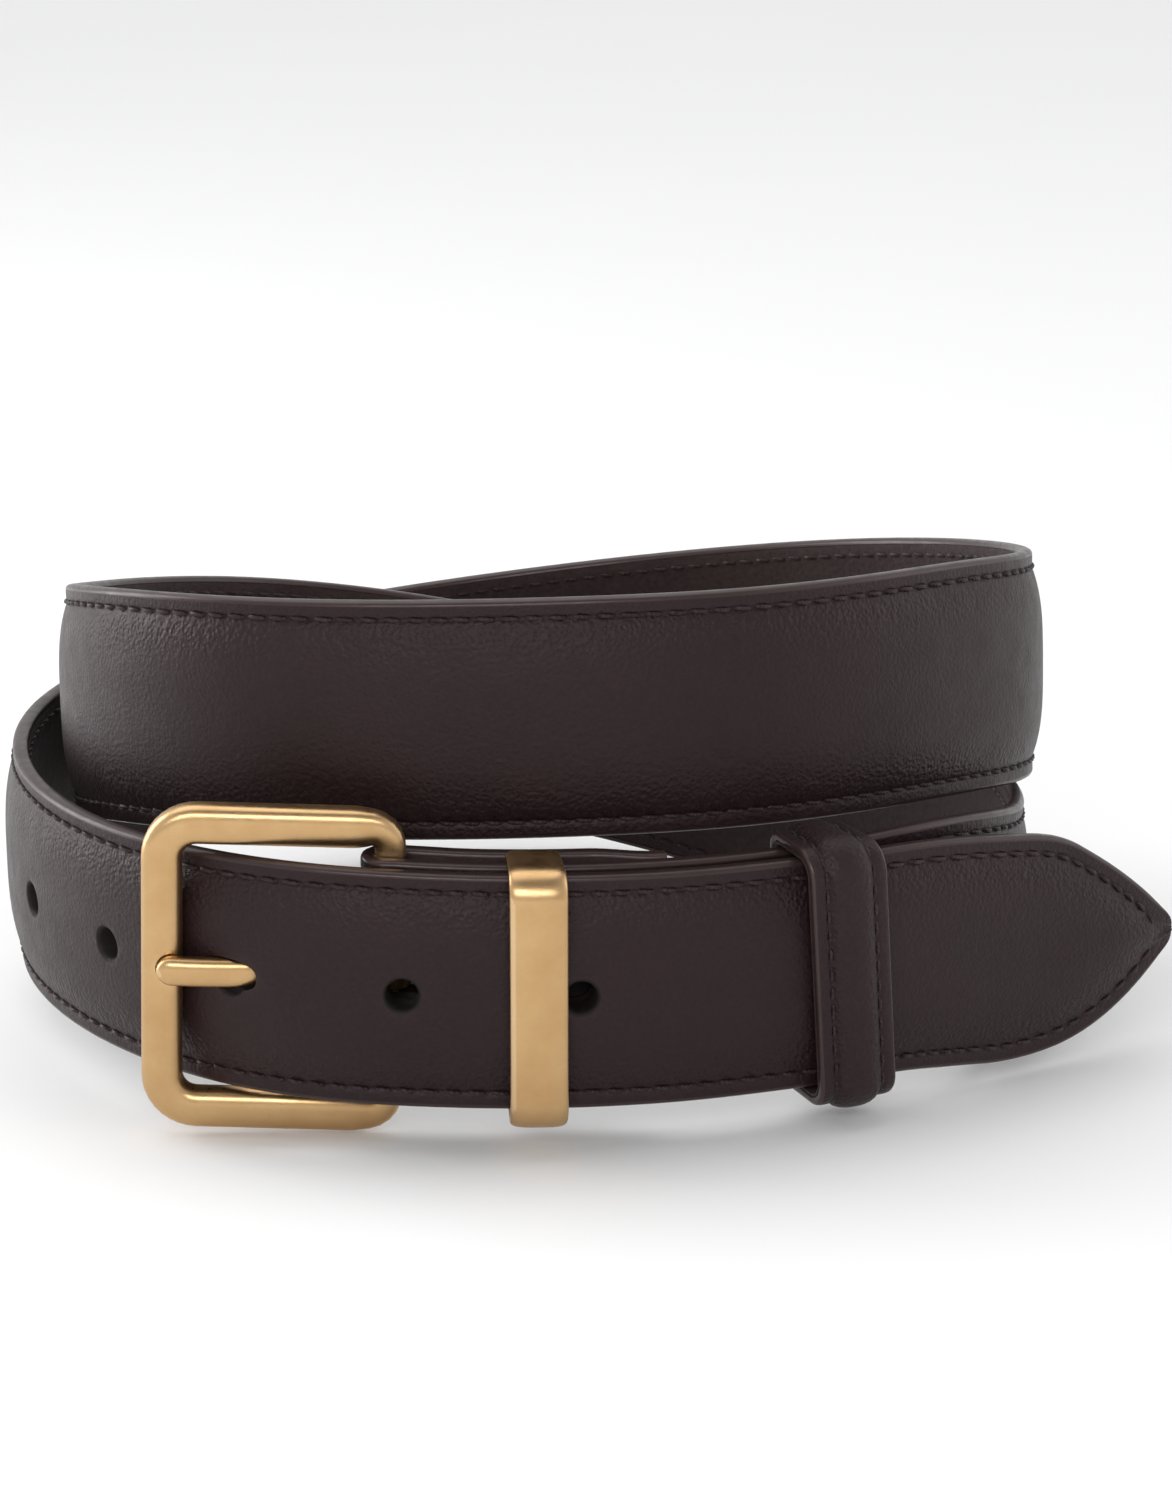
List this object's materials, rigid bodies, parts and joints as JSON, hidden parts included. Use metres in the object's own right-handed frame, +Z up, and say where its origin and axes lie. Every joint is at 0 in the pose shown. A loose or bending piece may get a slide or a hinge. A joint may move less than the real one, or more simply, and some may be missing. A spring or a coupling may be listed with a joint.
{
  "type": "leather belt",
  "caption": "Padded dark leather dress belt, buckled and coiled, with a brass frame buckle, a metal keeper, a leather keeper and a pointed tip.",
  "frame": {"origin": "on the surface the belt stands on, under the middle of its bounding box", "axes": "+Z up; -Y is the front, where the buckle is; +X towards the strap's pointed tip"},
  "size_m": [0.176, 0.1688, 0.0772],
  "materials": {
    "face_leather": "smooth pressed grain, semi-matt, near-black brown",
    "lining_leather": "matt pebbled lining leather, dark brown",
    "padding": "unfinished leather board filler",
    "thread": "waxed thread, dark brown",
    "brass": "satin antique brass"
  },
  "bodies": {
    "strap": {"strap_outer_leather": "face_leather", "strap_lining_leather": "lining_leather", "strap_padding": "padding", "edge_thread_face": "thread", "edge_thread_back": "thread", "fold_thread_near": "thread", "fold_thread_far": "thread"},
    "buckle": {"buckle_frame": "brass", "heel_bar": "brass"},
    "prong": {"prong": "brass"},
    "metal_keeper": {"metal_keeper": "brass"},
    "leather_keeper": {"keeper_leather": "face_leather", "keeper_lining": "lining_leather", "keeper_padding": "padding", "keeper_thread_left": "thread", "keeper_thread_right": "thread", "keeper_staple": "brass"}
  },
  "joints": [
    {"name": "buckle_swing", "type": "hinge", "parent": "strap", "child": "buckle", "pos_m": [-0.027, -0.07024, 0.02477], "axis": [0.0269, -0.0619, 0.9977], "range_deg": [0, 1.5]},
    {"name": "prong_swing", "type": "hinge", "parent": "buckle", "child": "prong", "pos_m": [-0.027, -0.07024, 0.02477], "axis": [0.0269, -0.0619, 0.9977], "range_deg": [0, 1.5]},
    {"name": "metal_keeper_slide", "type": "hinge", "parent": "strap", "child": "metal_keeper", "pos_m": [-0.0169, 0.03551, 0.01377], "axis": [0.0269, -0.0619, 0.9977], "range_deg": [-3, 2.5]},
    {"name": "leather_keeper_slide", "type": "hinge", "parent": "strap", "child": "leather_keeper", "pos_m": [-0.0169, 0.03551, 0.01377], "axis": [0.0269, -0.0619, 0.9977], "range_deg": [-8, 2.5]}
  ]
}
